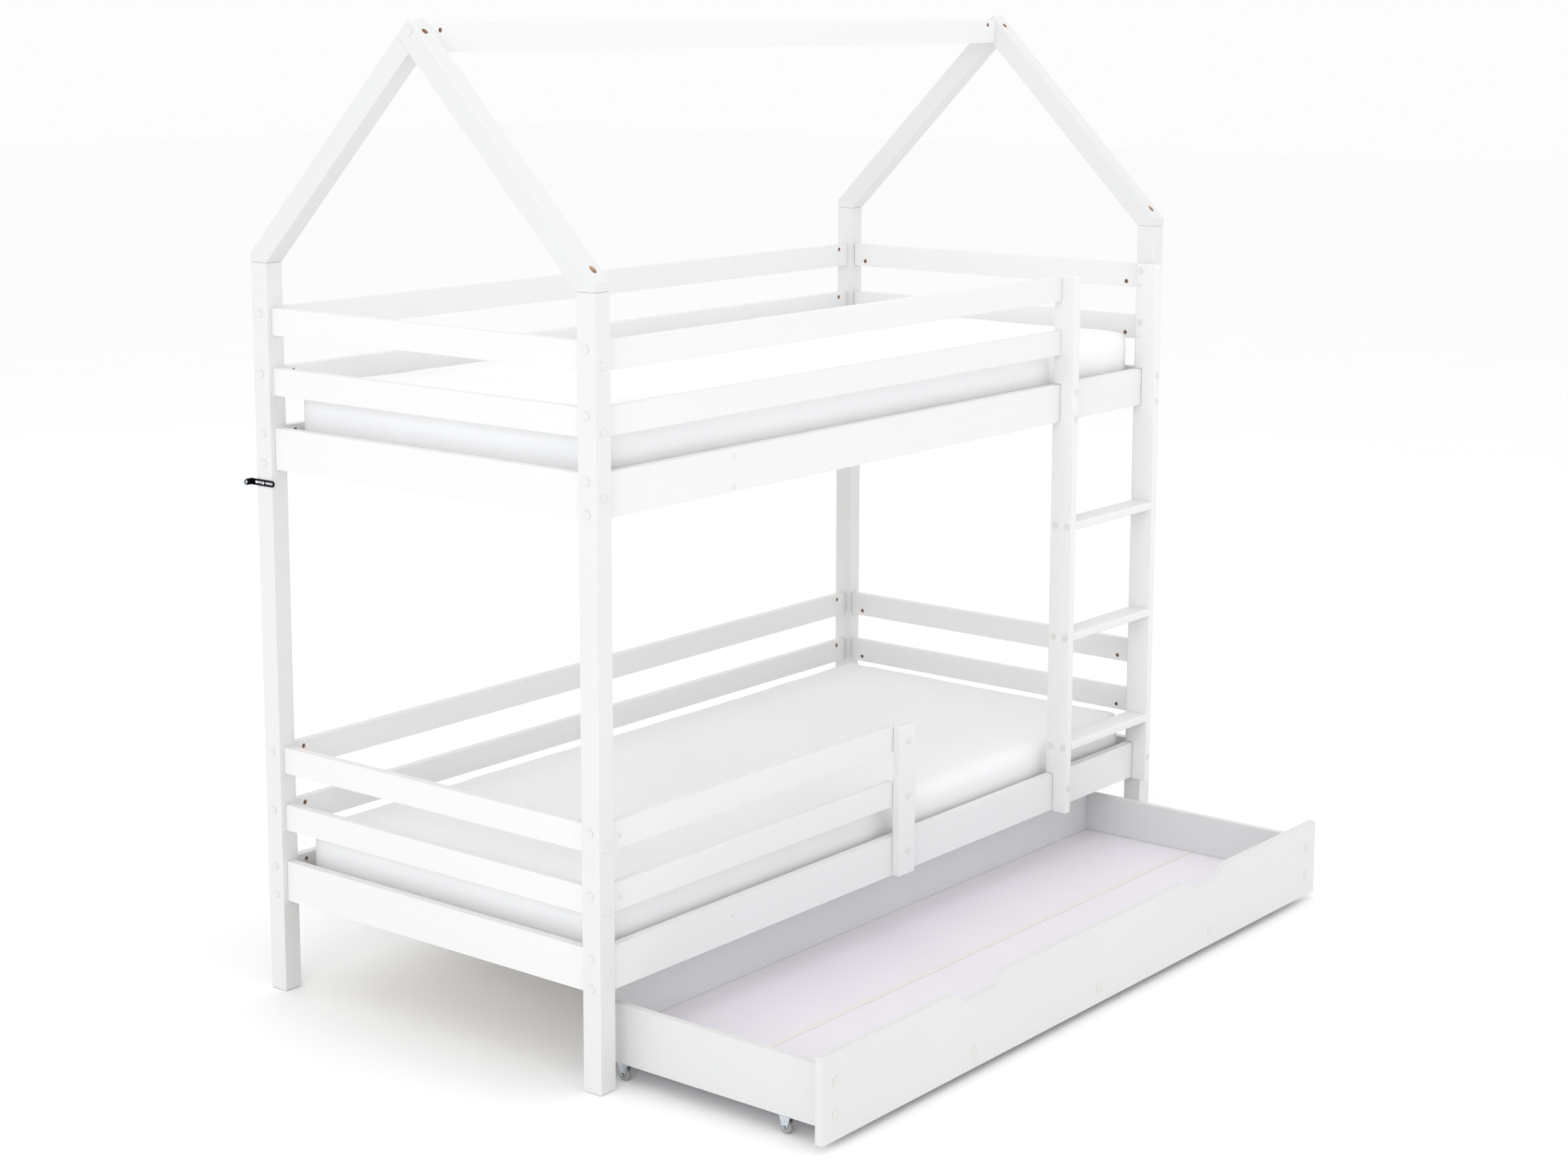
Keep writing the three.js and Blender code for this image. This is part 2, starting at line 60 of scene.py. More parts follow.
# The CAD's origin is moved from the middle of the posts' footprint; these bring it back.
lo_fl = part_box("post_front_left")[0]
hi_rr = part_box("post_rear_right")[1]
MID = Vector(((lo_fl.x + hi_rr.x) / 2, (lo_fl.y + hi_rr.y) / 2, 0))
APEX = cad_hi.z  # where the rafters' sloping faces would meet
X, Y, Z = Vector((1, 0, 0)), Vector((0, 1, 0)), Vector((0, 0, 1))
Q = math.pi / 2


def at(x, y, z):
    """A point given from the middle of the posts' footprint."""
    return Vector((MID.x + x, MID.y + y, z))


# ------------------------------------------------------------------ camera
CAMERA_ANGLES = (51.446, -9.573, 0.168)  # azimuth from +Y, pitch and roll, degrees
CAMERA_PLACE = (-4.8600, -3.9944, 2.1510)
FOCAL_PX, PHOTO_W = 3875.2, 2212
SENSOR = 36


def make_camera():
    """The camera fitted to the photo, with part of its upward lens shift."""
    az, pitch, roll = (math.radians(a) for a in CAMERA_ANGLES)
    forward = Vector((math.sin(az) * math.cos(pitch), math.cos(az) * math.cos(pitch), math.sin(pitch)))
    right = Vector((math.cos(az), -math.sin(az), 0))
    up = right.cross(forward)
    right2 = right * math.cos(roll) + up * math.sin(roll)
    up2 = up * math.cos(roll) - right * math.sin(roll)
    data = bpy.data.cameras.new("camera")
    data.sensor_width = SENSOR
    data.lens = FOCAL_PX * SENSOR / PHOTO_W
    data.shift_y = -0.08
    data.clip_end = 60
    cam = bpy.data.objects.new("camera", data)
    m = Matrix((right2, up2, -forward)).transposed().to_4x4()
    m.translation = at(*CAMERA_PLACE)
    cam.matrix_world = m
    scene.collection.objects.link(cam)
    scene.camera = cam


make_camera()


# ------------------------------------------------------------------ material helpers
class Nodes:
    """One procedural material: short calls for the nodes that the recipes below share."""

    def __init__(self, name):
        self.mat = bpy.data.materials.new(name)
        self.mat.use_nodes = True
        self.t = self.mat.node_tree
        self.bsdf = self.t.nodes["Principled BSDF"]

    def new(self, kind, **values):
        n = self.t.nodes.new(kind)
        for k, v in values.items():
            setattr(n, k, v)
        return n

    def link(self, a, b):
        self.t.links.new(a, b)

    def coords(self, scale=(1, 1, 1), rotation=(0, 0, 0)):
        tc = self.new("ShaderNodeTexCoord")
        mp = self.new("ShaderNodeMapping")
        mp.inputs["Rotation"].default_value = rotation
        mp.inputs["Scale"].default_value = scale
        self.link(tc.outputs["Object"], mp.inputs["Vector"])
        return mp.outputs["Vector"]

    def noise(self, vector, scale, detail=4.0, roughness=0.55, distortion=0.0):
        n = self.new("ShaderNodeTexNoise")
        n.inputs["Scale"].default_value = scale
        n.inputs["Detail"].default_value = detail
        n.inputs["Roughness"].default_value = roughness
        n.inputs["Distortion"].default_value = distortion
        self.link(vector, n.inputs["Vector"])
        return n.outputs["Fac"]

    def ramp(self, value, stops):
        r = self.new("ShaderNodeValToRGB")
        e = r.color_ramp.elements
        while len(e) < len(stops):
            e.new(0.5)
        for slot, (pos, col) in zip(e, stops):
            slot.position = pos
            slot.color = (*col, 1) if len(col) == 3 else col
        self.link(value, r.inputs["Fac"])
        return r.outputs["Color"]

    def range(self, value, a, b, c, d):
        r = self.new("ShaderNodeMapRange")
        for i, v in enumerate((a, b, c, d)):
            r.inputs[i + 1].default_value = v
        self.link(value, r.inputs["Value"])
        return r.outputs["Result"]

    def math(self, op, a, b):
        m = self.new("ShaderNodeMath", operation=op)
        for i, v in enumerate((a, b)):
            if isinstance(v, (int, float)):
                m.inputs[i].default_value = v
            else:
                self.link(v, m.inputs[i])
        return m.outputs["Value"]

    def bump(self, height, strength, distance, normal=None):
        b = self.new("ShaderNodeBump")
        b.inputs["Strength"].default_value = strength
        b.inputs["Distance"].default_value = distance
        self.link(height, b.inputs["Height"])
        if normal:
            self.link(normal, b.inputs["Normal"])
        return b.outputs["Normal"]

    def set(self, **values):
        names = {"color": "Base Color", "rough": "Roughness", "metal": "Metallic", "coat": "Coat Weight",
                 "coat_rough": "Coat Roughness", "sheen": "Sheen Weight", "sheen_rough": "Sheen Roughness",
                 "normal": "Normal", "ior": "IOR", "subsurface": "Subsurface Weight"}
        for k, v in values.items():
            socket = self.bsdf.inputs[names[k]]
            if hasattr(v, "is_output"):
                self.link(v, socket)
            elif k == "color":
                socket.default_value = (*v, 1)
            else:
                socket.default_value = v
        return self.mat


def painted(name, rotation, tint=(0.800, 0.801, 0.801)):
    """White satin paint on pine; the grain runs along local X after the rotation."""
    n = Nodes(name)
    grain = n.coords((2.2, 60, 60), rotation)
    fine = n.coords((9, 320, 320), rotation)
    flat = n.coords((1, 1, 1))
    g = n.noise(grain, 1.0, 5, 0.6, 0.6)
    f = n.noise(fine, 1.0, 3, 0.6)
    orange = n.noise(flat, 420, 2, 0.5)
    patch = n.noise(flat, 5.5, 3, 0.5)
    warm = tuple(c * k for c, k in zip(tint, (0.99, 0.985, 0.972)))
    cool = tuple(min(1, c * k) for c, k in zip(tint, (1.006, 1.009, 1.012)))
    mix = n.math("ADD", n.math("MULTIPLY", g, 0.55), n.math("MULTIPLY", patch, 0.45))
    color = n.ramp(mix, [(0.28, warm), (0.5, tint), (0.74, cool)])
    gloss = n.math("ADD", n.math("MULTIPLY", patch, 0.6), n.math("MULTIPLY", orange, 0.4))
    rough = n.range(gloss, 0.3, 0.7, 0.36, 0.5)
    nrm = n.bump(g, 0.10, 0.0012)
    nrm = n.bump(f, 0.10, 0.0005, nrm)
    nrm = n.bump(orange, 0.05, 0.0004, nrm)
    return n.set(color=color, rough=rough, normal=nrm)


def laminate(name, tint, spread=0.012, rough=(0.34, 0.42)):
    """Smooth coated board with a faint speck."""
    n = Nodes(name)
    v = n.coords()
    speck = n.noise(v, 700, 2, 0.5)
    cloud = n.noise(v, 4, 3, 0.5)
    a = tuple(max(0, c - spread) for c in tint)
    b = tuple(min(1, c + spread) for c in tint)
    m = n.math("ADD", n.math("MULTIPLY", speck, 0.5), n.math("MULTIPLY", cloud, 0.5))
    color = n.ramp(m, [(0.35, a), (0.65, b)])
    return n.set(color=color, rough=n.range(cloud, 0.3, 0.7, *rough), normal=n.bump(speck, 0.06, 0.0003))


def plastic(name, tint, rough=0.42, spread=0.02):
    """Moulded plastic, a little uneven in tone and gloss."""
    n = Nodes(name)
    v = n.coords()
    fine = n.noise(v, 900, 2, 0.5)
    cloud = n.noise(v, 60, 2, 0.5)
    a = tuple(max(0, c - spread) for c in tint)
    b = tuple(min(1, c + spread) for c in tint)
    color = n.ramp(cloud, [(0.35, a), (0.65, b)])
    r = n.range(cloud, 0.3, 0.7, rough - 0.05, rough + 0.07)
    return n.set(color=color, rough=r, normal=n.bump(fine, 0.08, 0.0002))


def metal(name, tint, rough, spangle=0.06, streak=0.08):
    """Plated steel with crystal spangle and fine scratches."""
    n = Nodes(name)
    v = n.coords()
    vor = n.new("ShaderNodeTexVoronoi")
    vor.inputs["Scale"].default_value = 380
    n.link(v, vor.inputs["Vector"])
    cells = n.new("ShaderNodeSeparateColor")
    n.link(vor.outputs["Color"], cells.inputs["Color"])
    scratch = n.noise(n.coords((900, 60, 900)), 1.0, 3, 0.6)
    a = tuple(max(0, c * (1 - spangle)) for c in tint)
    b = tuple(min(1, c * (1 + spangle)) for c in tint)
    color = n.ramp(cells.outputs["Red"], [(0.1, a), (0.9, b)])
    r = n.range(scratch, 0.3, 0.7, rough, rough + streak)
    return n.set(color=color, rough=r, metal=1.0, normal=n.bump(scratch, 0.05, 0.0002))


def pine(name, light, dark, rotation):
    """Unpainted pine; the grain runs along local X after the rotation."""
    n = Nodes(name)
    v = n.coords((1.2, 26, 26), rotation)
    rings = n.noise(v, 1.0, 6, 0.62, 1.4)
    fine = n.noise(n.coords((14, 420, 420), rotation), 1.0, 3, 0.6)
    m = n.math("ADD", n.math("MULTIPLY", rings, 0.75), n.math("MULTIPLY", fine, 0.25))
    color = n.ramp(m, [(0.3, dark), (0.52, light), (0.7, tuple(min(1, c * 1.06) for c in light))])
    nrm = n.bump(fine, 0.2, 0.0004)
    return n.set(color=color, rough=n.range(fine, 0.3, 0.7, 0.55, 0.72), normal=nrm)


def cover(name):
    """White brushed mattress cover: a fine plain weave, faint pile and slow unevenness."""
    n = Nodes(name)
    v = n.coords()
    waves = []
    for axis in ("X", "Y"):
        w = n.new("ShaderNodeTexWave", wave_type="BANDS", bands_direction=axis)
        w.inputs["Scale"].default_value = 210
        w.inputs["Distortion"].default_value = 1.2
        w.inputs["Detail"].default_value = 1.0
        w.inputs["Detail Scale"].default_value = 1.5
        n.link(v, w.inputs["Vector"])
        waves.append(w.outputs["Fac"])
    weave = n.math("MULTIPLY", waves[0], waves[1])
    pile = n.noise(v, 260, 4, 0.65)
    slow = n.noise(v, 3.2, 3, 0.55)
    fold = n.noise(n.coords((2.0, 7.0, 9.0)), 1.0, 3, 0.5, 1.0)
    mix = n.math("ADD", n.math("MULTIPLY", pile, 0.6), n.math("MULTIPLY", slow, 0.4))
    color = n.ramp(mix, [(0.3, (0.863, 0.866, 0.875)), (0.55, (0.898, 0.902, 0.910)),
                         (0.75, (0.913, 0.916, 0.923))])
    nrm = n.bump(fold, 0.22, 0.010)
    nrm = n.bump(pile, 0.30, 0.0012, nrm)
    nrm = n.bump(weave, 0.22, 0.0005, nrm)
    rough = n.range(pile, 0.3, 0.7, 0.86, 0.97)
    return n.set(color=color, rough=rough, normal=nrm, sheen=0.18, sheen_rough=0.5)


PAINT_X = painted("paint_grain_x", (0, 0, 0))
PAINT_Y = painted("paint_grain_y", (0, 0, Q))
PAINT_Z = painted("paint_grain_z", (0, Q, 0))
# painted shade: the posts get a greyer copy of the same white paint, standing in for the shade on their faces
PAINT_POST_SHADED = painted("paint_posts_painted_shade", (0, Q, 0), (0.745, 0.746, 0.747))
# painted shade: the rafters get a darker copy of the same white paint, standing in for the shade on their
# sloping faces
RAFTER_SHADED_TINT = (0.725, 0.727, 0.730)
PAINT_UP_SHADED = painted("paint_grain_rising_painted_shade", (Q / 2, 0, Q), RAFTER_SHADED_TINT)
PAINT_DOWN_SHADED = painted("paint_grain_falling_painted_shade", (-Q / 2, 0, Q), RAFTER_SHADED_TINT)
LAMINATE = laminate("drawer_laminate", (0.710, 0.712, 0.714))
LINING = laminate("drawer_floor_board", (0.86, 0.825, 0.885), 0.012, (0.42, 0.52))
STRIP = plastic("floor_strip_plastic", (0.84, 0.82, 0.80), 0.4, 0.012)
COVER = cover("mattress_cover_cloth")
SLAT = pine("bare_pine_y", (0.89, 0.83, 0.74), (0.78, 0.68, 0.55), (0, 0, Q))
BATTEN = pine("bare_pine_batten", (0.70, 0.50, 0.30), (0.48, 0.30, 0.15), (0, 0, Q))
BORE = pine("raw_bore_wood", (0.60, 0.38, 0.27), (0.42, 0.22, 0.14), (0, 0, 0))
BORE_PALE = pine("raw_bore_wood_pale", (0.62, 0.40, 0.27), (0.36, 0.19, 0.11), (0, 0, 0))
NUT = metal("cross_nut_metal", (0.34, 0.24, 0.18), 0.38)
ZINC = metal("zinc_plate", (0.66, 0.71, 0.75), 0.27, 0.09)
DARK = metal("dark_plate", (0.055, 0.065, 0.085), 0.30, 0.12)
SCREW = metal("screw_zinc", (0.62, 0.65, 0.68), 0.25)
WHEEL = plastic("wheel_grey_plastic", (0.36, 0.355, 0.35), 0.38, 0.03)
# painted shade: this dark plastic is only the flat quad that stands for the shadowed slot of each cross nut
NUT_SLOT_SHADE = plastic("nut_slot_painted_shade", (0.13, 0.13, 0.135), 0.35, 0.02)
CAP = plastic("white_cap_plastic", (0.735, 0.735, 0.735), 0.34, 0.012)
CAP_PALE = plastic("pale_cap_plastic", (0.71, 0.69, 0.665), 0.45, 0.02)


def bracket_plate_painted_reflection(o):
    """Bright zinc at its wall end, with navy on the flange and near-black on the slotted arm as painted dark
    reflection of the plated steel.
    """
    lo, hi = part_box("wall_bracket")
    inverse = o.matrix_world.inverted()
    blend = 0.0032
    edge = (inverse @ Vector((lo.x + 0.0068, lo.y, lo.z))).x - blend / 2
    arm = (inverse @ Vector((hi.x - 0.0020, lo.y, lo.z))).x
    reach = arm - edge
    n = Nodes("bracket_plate_painted_reflection")
    v = n.coords()
    split = n.new("ShaderNodeSeparateXYZ")
    n.link(v, split.inputs["Vector"])
    wear_and_reflection_noise = n.noise(v, 260, 4, 0.6)
    # painted reflection: the zinc-to-navy-to-black mask along the bracket stands in for dark reflection; the
    # same noise also varies roughness and bump
    place = n.math("ADD", split.outputs["X"], n.math("MULTIPLY", n.math("SUBTRACT", wear_and_reflection_noise, 0.5), 0.004))
    reflection_mask = n.range(place, edge, arm, 0.0, 1.0)
    navy_reflection = (0.036, 0.047, 0.066)
    color = n.ramp(reflection_mask, [(0.0, (0.60, 0.66, 0.70)), (blend / reach, navy_reflection),
                          (1 - 0.0012 / reach, navy_reflection), (1.0, (0.011, 0.012, 0.015))])
    rough = n.range(wear_and_reflection_noise, 0.3, 0.7, 0.26, 0.40)
    return n.set(color=color, rough=rough, metal=1.0, normal=n.bump(wear_and_reflection_noise, 0.08, 0.0002))


POST_EDGE, BOARD_EDGE, PANEL_EDGE, SLAT_EDGE, STEEL_EDGE = 0.0022, 0.0018, 0.0007, 0.001, 0.0003


def dress(node, material, bevel):
    """Puts the material on a CAD node and, where a width is given, rounds its edges with modifiers."""
    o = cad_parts[node]
    if not o.material_slots:
        o.data.materials.append(material)
    for s in o.material_slots:
        s.material = material
    if bevel:
        weld = o.modifiers.new("weld", "WELD")
        weld.merge_threshold = 0.00002
        flat = o.modifiers.new("flat", "DECIMATE")
        flat.decimate_type = "DISSOLVE"
        flat.angle_limit = math.radians(1.0)
        bev = o.modifiers.new("edges", "BEVEL")
        bev.width = bevel
        bev.segments = 3
        bev.limit_method = "ANGLE"
        bev.angle_limit = math.radians(40)
        bev.use_clamp_overlap = True
        bev.harden_normals = True
    return o


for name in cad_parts:
    if name.startswith("post_"):
        dress(name, PAINT_POST_SHADED, POST_EDGE)
    elif name.startswith("ladder_stile") or name == "guard_upright":
        dress(name, PAINT_Z, POST_EDGE)
    elif name.startswith("rafter_front"):
        dress(name, PAINT_UP_SHADED, BOARD_EDGE)
    elif name.startswith("rafter_rear"):
        dress(name, PAINT_DOWN_SHADED, BOARD_EDGE)
    elif name == "ridge_beam" or name.startswith("ladder_rung"):
        dress(name, PAINT_X, BOARD_EDGE if name == "ridge_beam" else 0)
    elif "_guard" in name or "_rail_" in name:
        dress(name, PAINT_Y if name.endswith(("left", "right")) else PAINT_X, BOARD_EDGE)
    elif name.startswith("drawer_floor_strip"):
        dress(name, STRIP, 0)
    elif name.startswith("drawer_floor"):
        dress(name, LINING, 0)
    elif name.startswith("drawer_"):
        dress(name, LAMINATE, PANEL_EDGE)
    elif name.startswith("caster_fork"):
        dress(name, ZINC, STEEL_EDGE)
    elif name.endswith("slats"):
        dress(name, SLAT, SLAT_EDGE)
    elif name == "wall_bracket":
        dress(name, bracket_plate_painted_reflection(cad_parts[name]), STEEL_EDGE)


# ------------------------------------------------------------------ mesh helpers
def make(name, bm, material, body):
    """Turns the bmesh into a smooth-shaded object that rides on the body."""
    me = bpy.data.meshes.new(name)
    bm.normal_update()
    bm.to_mesh(me)
    bm.free()
    for m in (material if isinstance(material, (list, tuple)) else [material]):
        me.materials.append(m)
    for p in me.polygons:
        p.use_smooth = True
    me.set_sharp_from_angle(angle=math.radians(42))
    o = bpy.data.objects.new(name, me)
    scene.collection.objects.link(o)
    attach(o, body)
    return o


def turned(bm, profile, origin, axis, seg=28, mat=0):
    """Adds a turned solid: profile is (radius, height) pairs up the axis, closed where the radius is 0."""
    q = Vector(axis).to_track_quat("Z", "Y").to_matrix()
    rings = []
    for r, h in profile:
        if r < 1e-7:
            ring = [Vector((0, 0, h))]
        else:
            ring = [Vector((r * math.cos(2 * math.pi * i / seg), r * math.sin(2 * math.pi * i / seg), h))
                    for i in range(seg)]
        rings.append([bm.verts.new(Vector(origin) + q @ v) for v in ring])
    for a, b in zip(rings, rings[1:]):
        for i in range(seg):
            j = (i + 1) % seg
            va = [a[i % len(a)], a[j % len(a)]]
            vb = [b[j % len(b)], b[i % len(b)]]
            face = []
            for v in va + vb:
                if v not in face:
                    face.append(v)
            if len(face) > 2:
                f = bm.faces.new(face)
                f.material_index = mat


def cap_profile(r, h):
    """A cover cap: a short skirt, a rounded rim and a shallow dished middle."""
    return [(r * 0.96, 0.0), (r, h * 0.22), (r, h * 0.45), (r * 0.96, h * 0.74), (r * 0.86, h * 0.95),
            (r * 0.74, h), (r * 0.60, h * 0.93), (r * 0.35, h * 0.86), (0, h * 0.84)]


def dome_profile(r, h):
    """A plain low dome."""
    return [(r * 0.97, 0.0), (r, h * 0.2), (r * 0.95, h * 0.45), (r * 0.8, h * 0.72), (r * 0.55, h * 0.9),
            (r * 0.28, h * 0.98), (0, h)]


def caps(name, places, r, h, material, body, profile=cap_profile):
    """One object of caps; places are (centre on the face, the face's outward normal)."""
    bm = bmesh.new()
    for p, n in places:
        turned(bm, profile(r, h), Vector(p) + Vector(n) * 0.00005, n)
    return make(name, bm, material, body)


# ------------------------------------------------------------------ cover caps on the bed
posts = {(a, b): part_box(f"post_{a}_{b}") for a in ("front", "rear") for b in ("left", "right")}
sign = {"left": -1, "right": 1, "front": -1, "rear": 1}
GUARD_BOLT, RAIL_BOLT = 0.016, 0.032  # how far a board's bolts lie above or below its middle
white = []
for level in ("lower", "upper"):
    for kind, long_dz, end_dz in (("guard1", (GUARD_BOLT,), -GUARD_BOLT),
                                  ("guard2", (GUARD_BOLT,), -GUARD_BOLT),
                                  ("rail", (-RAIL_BOLT, RAIL_BOLT), 0.0)):
        lo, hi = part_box(f"{level}_{kind}_rear")
        zc = (lo.z + hi.z) / 2
        for (a, b), (pl, ph) in posts.items():
            mid = (pl + ph) / 2
            x_face = ph.x if b == "right" else pl.x
            y_face = ph.y if a == "rear" else pl.y
            if not (a == "front" and b == "right" and kind != "rail"):
                for d in long_dz:
                    white.append(((x_face, mid.y, zc + d), X * sign[b]))
            white.append(((mid.x, y_face, zc + end_dz), Y * sign[a]))
# the bolt through each peak
for s in (-1, 1):
    white.append((at(s * 1.040, -0.002, APEX - 0.024), X * s))
caps("bolt_caps_posts", white, 0.0084, 0.0028, CAP, "bed")

stile_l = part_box("ladder_stile_left")
stile_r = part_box("ladder_stile_right")
rungs = [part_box(f"ladder_rung_{i}") for i in (1, 2, 3)]
rail_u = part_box("upper_rail_front")
rail_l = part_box("lower_rail_front")
SCREW_IN = 0.0125  # the rungs' screws, in from the stile's front edge
BOLT_IN = 0.0110  # the guards' bolts, in from its rear edge
pale = []
for lo, hi in rungs:
    z = (lo.z + hi.z) / 2
    for y in (stile_l[0].y + SCREW_IN, stile_l[0].y + 0.0460):
        pale.append(((stile_l[0].x, y, z), -X))
    pale.append(((stile_r[1].x, stile_r[0].y + SCREW_IN, z), X))
for kind in ("guard1", "guard2"):
    lo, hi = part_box(f"upper_{kind}_front")
    z = (lo.z + hi.z) / 2 + GUARD_BOLT
    pale.append(((stile_r[0].x, stile_r[1].y - BOLT_IN, z), -X))
    pale.append(((stile_l[1].x, stile_l[1].y - BOLT_IN, z), X))
# the bolts through the stiles' front edges into the two side rails
zu = (rail_u[0].z + rail_u[1].z) / 2
zl = (rail_l[0].z + rail_l[1].z) / 2
edge = []
for lo, hi in (stile_l, stile_r):
    x = (lo.x + hi.x) / 2
    for z in (zu + 0.030, zu - 0.034, zl + 0.013):
        edge.append(((x, lo.y, z), -Y))
caps("ladder_caps_side", pale, 0.0086, 0.0010, CAP_PALE, "bed")
caps("ladder_caps_edge", edge, 0.0082, 0.0009, CAP_PALE, "bed")

up_lo, up_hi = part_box("guard_upright")
up_x = (up_lo.x + up_hi.x) / 2 + 0.002
upright = []
for kind, d in (("guard1", -0.006), ("guard2", -0.005), ("rail", 0.013)):
    lo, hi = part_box(f"lower_{kind}_front")
    upright.append(((up_x, up_lo.y, (lo.z + hi.z) / 2 + d), -Y))
caps("guard_upright_caps", upright, 0.0078, 0.0030, CAP, "bed")

# screw caps on the long boards: x from the middle of the posts' footprint, z from the floor
front_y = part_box("upper_guard1_front")[0].y
rear_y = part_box("upper_guard1_rear")[1].y
SMALL_FRONT = ((-0.6095, 1.234), (-0.6095, 1.171), (-0.613, 0.2625), (0.0313, 0.2600), (-0.9635, 0.520),
               (-0.9635, 0.392))
SMALL_REAR = ((-0.6095, 1.234), (-0.6095, 1.171), (0.6095, 1.234), (0.6095, 1.171), (-0.613, 0.2625),
              (0.613, 0.2625))
small = [((MID.x + x, front_y, z), -Y) for x, z in SMALL_FRONT]
small += [((MID.x + x, rear_y, z), Y) for x, z in SMALL_REAR]
for z in (1.460, 1.332):
    small.append(((stile_r[0].x, stile_r[1].y - 0.0100, z), -X))
caps("small_caps", small, 0.0054, 0.0022, CAP, "bed", dome_profile)


# ------------------------------------------------------------------ cross nuts in the bored holes
def bore(bm_wood, bm_nut, p, n, depth=0.0145, r=0.0047, sink=0.0042):
    """A raw-wood lining with a cross nut down in it, its slot a flat dark quad of painted shade; n points out
    of the hole's mouth.
    """
    p, n = Vector(p), Vector(n)
    turned(bm_wood, [(r, -0.0004), (r, -depth), (0, -depth)], p, n, 20)
    q = n.to_track_quat("Z", "Y").to_matrix()
    ring = [(r * 0.93, -depth + 0.0004), (r * 0.95, -sink - 0.0006), (r * 0.86, -sink)]
    turned(bm_nut, ring + [(r * 0.30, -sink), (0, -sink)], p, n, 20)
    # the slot is not cut: a flat dark quad just above the nut's face is painted shade
    w, l = r * 0.16, r * 0.74
    painted_slot_shade_pts = [(-l, -w), (l, -w), (l, w), (-l, w)]
    vs = [bm_nut.verts.new(p + q @ Vector((a, b, -sink + 0.00012))) for a, b in painted_slot_shade_pts]
    f = bm_nut.faces.new(vs)
    f.material_index = 1


wood, nuts = bmesh.new(), bmesh.new()
END = 0.036  # a bore's middle, in from the board's end
inner_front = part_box("lower_guard1_front")[1].y
inner_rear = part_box("lower_guard1_rear")[0].y
for level in ("lower", "upper"):
    for kind, dz in (("guard1", (GUARD_BOLT,)), ("guard2", (GUARD_BOLT,)), ("rail", (-RAIL_BOLT, RAIL_BOLT))):
        for side in ("front", "rear"):
            lo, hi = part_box(f"{level}_{kind}_{side}")
            xs = [lo.x + END]
            if not (side == "front" and level == "lower" and kind != "rail"):
                xs.append(hi.x - END)
            for x in xs:
                for d in dz:
                    z = (lo.z + hi.z) / 2 + d
                    if side == "front":
                        bore(wood, nuts, (x, inner_front, z), Y)
                    else:
                        bore(wood, nuts, (x, inner_rear, z), -Y)
        d = 0.0 if kind == "rail" else -GUARD_BOLT
        for side in ("left", "right"):
            lo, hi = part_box(f"{level}_{kind}_{side}")
            z = (lo.z + hi.z) / 2 + d
            for y in (lo.y + END, hi.y - END):
                if side == "left":
                    bore(wood, nuts, (hi.x, y, z), X)
                else:
                    bore(wood, nuts, (lo.x, y, z), -X)
lo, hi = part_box("ridge_beam")
for x in (lo.x + 0.034, hi.x - 0.034):
    bore(wood, nuts, (x, lo.y, hi.z - 0.0135), -Y)
make("bore_linings", wood, BORE, "bed")
make("cross_nuts", nuts, [NUT, NUT_SLOT_SHADE], "bed")


RAFTER_BORE_R = 0.0067
RAFTER_HEAD = (0.0052, 0.0024)  # a screw head's radius and height


def slope_bore(bm, x, y, r=RAFTER_BORE_R, depth=0.019, seg=20):
    """The upright screw hole near a rafter's foot, its mouth cut by the sloping face."""
    top, low = [], []
    for i in range(seg):
        a = 2 * math.pi * i / seg
        px, py = x + r * math.cos(a), y + r * math.sin(a)
        zt = APEX - abs(py - MID.y) - 0.0005
        top.append(bm.verts.new((px, py, zt)))
        low.append(bm.verts.new((px, py, APEX - abs(y - MID.y) - depth)))
    for i in range(seg):
        j = (i + 1) % seg
        bm.faces.new((top[j], top[i], low[i], low[j]))
    bm.faces.new(low)


pale_bore, heads = bmesh.new(), bmesh.new()
for a in ("front", "rear"):
    for b in ("left", "right"):
        pl, ph = posts[(a, b)]
        mid = (pl + ph) / 2
        slope_bore(pale_bore, mid.x, mid.y)
        turned(heads, dome_profile(*RAFTER_HEAD), (mid.x, mid.y, APEX - abs(mid.y - MID.y) - 0.0188), Z, 20)
# the slanted hole near each peak, square to the front rafter's sloping face
slope = Vector((0, -1, 1)).normalized()
PEAK_DEPTH = 0.032
PEAK_BORE = ((RAFTER_BORE_R, -0.0004), (RAFTER_BORE_R, -PEAK_DEPTH), (0, -PEAK_DEPTH))
for s in (-1, 1):
    p = at(s * 1.0175, -0.0240, APEX - 0.0240)
    turned(pale_bore, PEAK_BORE, p, slope, 20)
    turned(heads, dome_profile(*RAFTER_HEAD), p - slope * 0.0318, slope, 20)
make("rafter_bore_linings", pale_bore, BORE_PALE, "bed")
make("rafter_screw_heads", heads, SCREW, "bed")

# ------------------------------------------------------------------ wall bracket screw
wb_lo, wb_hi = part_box("wall_bracket")
bm = bmesh.new()
BRACKET_T = 0.0022  # thickness of the plate
BRACKET_SCREW = ((0.0030, -0.0022), (0.0037, 0.0), (0.0037, 0.0005), (0.0030, 0.0015), (0.0018, 0.0019),
                 (0.0014, 0.0010), (0, 0.0008))
turned(bm, BRACKET_SCREW, (wb_hi.x - BRACKET_T - 0.0003, wb_lo.y + 0.0345, (wb_lo.z + wb_hi.z) / 2), -X, 24)
make("bracket_screws", bm, SCREW, "bed")


